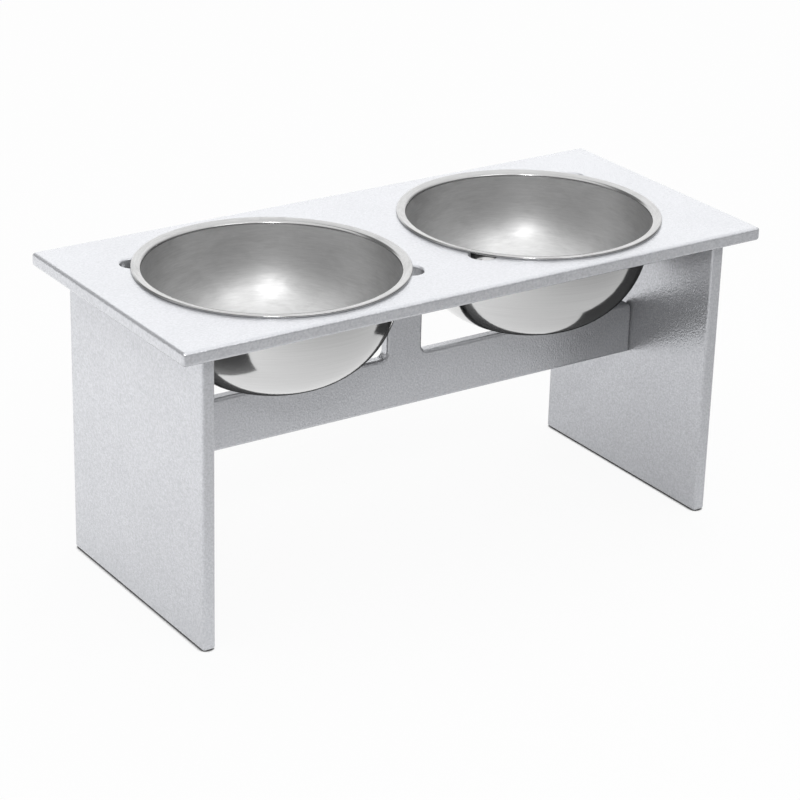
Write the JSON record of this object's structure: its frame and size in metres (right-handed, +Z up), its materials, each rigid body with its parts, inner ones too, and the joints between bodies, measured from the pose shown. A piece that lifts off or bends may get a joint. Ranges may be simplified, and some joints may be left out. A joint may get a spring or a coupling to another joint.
{
  "type": "double dog bowl stand",
  "caption": "Raised pet feeder: a flat silver-coated panel on board legs with a T-shaped stretcher, holding lift-out round steel bowls in holes with finger notches.",
  "frame": {"origin": "on the floor under the middle of the stand", "axes": "+X along the length, +Y to the back, +Z up"},
  "size_m": [0.61, 0.273, 0.2916],
  "materials": {
    "silver_coat": "sprayed silver-grey metallic coat with a fine texture, semi-gloss, over wood-fibre board",
    "bowl_steel": "satin with fine circular brushing inside, polished outside",
    "dowel_wood": "bare beech"
  },
  "bodies": {
    "stand": {"top_panel": "silver_coat", "left_leg": "silver_coat", "right_leg": "silver_coat", "stretcher": "silver_coat", "left_leg_front_dowel": "dowel_wood", "left_leg_middle_dowel": "dowel_wood", "left_leg_back_dowel": "dowel_wood", "right_leg_front_dowel": "dowel_wood", "right_leg_middle_dowel": "dowel_wood", "right_leg_back_dowel": "dowel_wood", "post_left_dowel": "dowel_wood", "post_right_dowel": "dowel_wood", "rail_left_upper_dowel": "dowel_wood", "rail_left_lower_dowel": "dowel_wood", "rail_right_upper_dowel": "dowel_wood", "rail_right_lower_dowel": "dowel_wood"},
    "left_bowl": {"left_bowl": "bowl_steel"},
    "right_bowl": {"right_bowl": "bowl_steel"}
  },
  "joints": [
    {"name": "left_bowl_lift", "type": "slide", "parent": "stand", "child": "left_bowl", "axis": [0, 0, 1], "range_m": [0, 0.12]},
    {"name": "right_bowl_lift", "type": "slide", "parent": "stand", "child": "right_bowl", "axis": [0, 0, 1], "range_m": [0, 0.12]}
  ]
}
